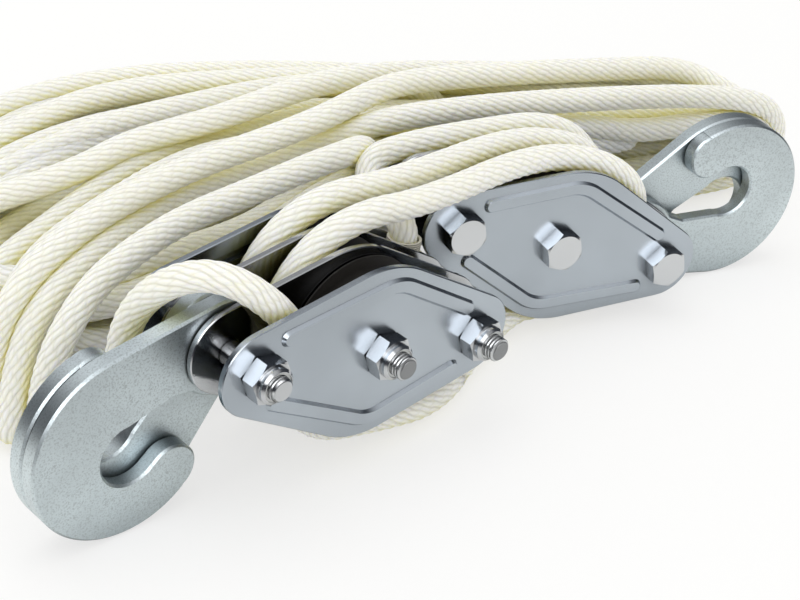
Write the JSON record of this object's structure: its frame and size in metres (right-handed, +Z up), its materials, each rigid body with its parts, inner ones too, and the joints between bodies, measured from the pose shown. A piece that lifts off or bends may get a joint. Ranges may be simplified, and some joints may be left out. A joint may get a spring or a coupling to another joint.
{
  "type": "block and tackle",
  "caption": "Rope tackle of paired sheave blocks with plate cheeks, bolts, lock nuts and swinging double hook plates, reeved with braided rope whose slack lies in a hank behind.",
  "frame": {"origin": "on the floor under the middle of the two blocks' bounding box, the free tail and hank of the rope left out", "axes": "+X along the way the right block is drawn out, +Y away from the viewer towards the hank, +Z up"},
  "size_m": [0.382, 0.2231, 0.0836],
  "materials": {
    "cheek_plate": "bright zinc plate, semi-gloss",
    "inner_plate": "bright zinc plate, near mirror",
    "hook_plate": "satin zinc plate, fine speckle",
    "bolt": "bright zinc plate",
    "lock_nut": "bright zinc plate",
    "nut_insert": "natural nylon",
    "sheave": "black moulded nylon",
    "rope": "solid braid, white to cream",
    "seizing": "whipping twine"
  },
  "bodies": {
    "left_block": {"left_plate_outer_front": "cheek_plate", "left_plate_inner_front": "inner_plate", "left_plate_inner_rear": "inner_plate", "left_plate_outer_rear": "cheek_plate", "left_hook_bolt": "bolt", "left_axle_bolt": "bolt", "left_inner_bolt": "bolt", "left_lock_nuts": "lock_nut", "left_nut_inserts": "nut_insert", "rope_dead_end": "rope", "rope_seizing": "seizing", "rope_fall_1": "rope", "rope_fall_2": "rope", "rope_fall_3": "rope", "rope_fall_4": "rope", "rope_fall_5": "rope", "rope_fall_6": "rope", "rope_left_turns": "rope", "rope_tail": "rope", "rope_hank": "rope"},
    "right_block": {"right_plate_outer_front": "cheek_plate", "right_plate_inner_front": "inner_plate", "right_plate_inner_rear": "inner_plate", "right_plate_outer_rear": "cheek_plate", "right_hook_bolt": "bolt", "right_axle_bolt": "bolt", "right_inner_bolt": "bolt", "right_lock_nuts": "lock_nut", "right_nut_inserts": "nut_insert", "rope_right_turns": "rope"},
    "left_sheave_front": {"left_sheave_front": "sheave"},
    "left_sheave_middle": {"left_sheave_middle": "sheave"},
    "left_sheave_rear": {"left_sheave_rear": "sheave"},
    "left_hook_front": {"left_hook_front": "hook_plate"},
    "left_hook_rear": {"left_hook_rear": "hook_plate"},
    "right_sheave_front": {"right_sheave_front": "sheave"},
    "right_sheave_middle": {"right_sheave_middle": "sheave"},
    "right_sheave_rear": {"right_sheave_rear": "sheave"},
    "right_hook_front": {"right_hook_front": "hook_plate"},
    "right_hook_rear": {"right_hook_rear": "hook_plate"}
  },
  "joints": [
    {"name": "block_travel", "type": "slide", "parent": "left_block", "child": "right_block", "axis": [1, 0, 0], "range_m": [0, 0.3], "deforming": ["rope_fall_1", "rope_fall_2", "rope_fall_3", "rope_fall_4", "rope_fall_5", "rope_fall_6"]},
    {"name": "left_sheave_front_spin", "type": "hinge", "parent": "left_block", "child": "left_sheave_front", "pos_m": [-0.04782, -0.03331, 0.04224], "axis": [0.2735, -0.9619, 0], "continuous": true},
    {"name": "left_sheave_middle_spin", "type": "hinge", "parent": "left_block", "child": "left_sheave_middle", "pos_m": [-0.05187, -0.01907, 0.04224], "axis": [0.2735, -0.9619, 0], "continuous": true},
    {"name": "left_sheave_rear_spin", "type": "hinge", "parent": "left_block", "child": "left_sheave_rear", "pos_m": [-0.05592, -0.00484, 0.04224], "axis": [0.2735, -0.9619, 0], "continuous": true},
    {"name": "left_hook_front_swing", "type": "hinge", "parent": "left_block", "child": "left_hook_front", "pos_m": [-0.09664, -0.035, 0.0524], "axis": [0.2735, -0.9619, 0], "range_deg": [-20, 32]},
    {"name": "left_hook_rear_swing", "type": "hinge", "parent": "left_block", "child": "left_hook_rear", "pos_m": [-0.09833, -0.02908, 0.0524], "axis": [0.2735, -0.9619, 0], "range_deg": [-20, 32]},
    {"name": "right_sheave_front_spin", "type": "hinge", "parent": "right_block", "child": "right_sheave_front", "pos_m": [0.04566, 0.01501, 0.03651], "axis": [0, -1, 0], "continuous": true},
    {"name": "right_sheave_middle_spin", "type": "hinge", "parent": "right_block", "child": "right_sheave_middle", "pos_m": [0.04566, 0.02981, 0.03651], "axis": [0, -1, 0], "continuous": true},
    {"name": "right_sheave_rear_spin", "type": "hinge", "parent": "right_block", "child": "right_sheave_rear", "pos_m": [0.04566, 0.04461, 0.03651], "axis": [0, -1, 0], "continuous": true},
    {"name": "right_hook_front_swing", "type": "hinge", "parent": "right_block", "child": "right_hook_front", "pos_m": [0.09168, 0.02673, 0.0212], "axis": [0, -1, 0], "range_deg": [-97, 32]},
    {"name": "right_hook_rear_swing", "type": "hinge", "parent": "right_block", "child": "right_hook_rear", "pos_m": [0.09168, 0.03288, 0.0212], "axis": [0, -1, 0], "range_deg": [-97, 32]}
  ],
  "couplings": [
    {"joint": "left_sheave_front_spin", "follows": "block_travel", "rad_per_m": 258.06},
    {"joint": "left_sheave_middle_spin", "follows": "block_travel", "rad_per_m": 172.04},
    {"joint": "left_sheave_rear_spin", "follows": "block_travel", "rad_per_m": 86.022},
    {"joint": "right_sheave_front_spin", "follows": "block_travel", "rad_per_m": 215.05},
    {"joint": "right_sheave_middle_spin", "follows": "block_travel", "rad_per_m": 129.03},
    {"joint": "right_sheave_rear_spin", "follows": "block_travel", "rad_per_m": 43.011}
  ]
}
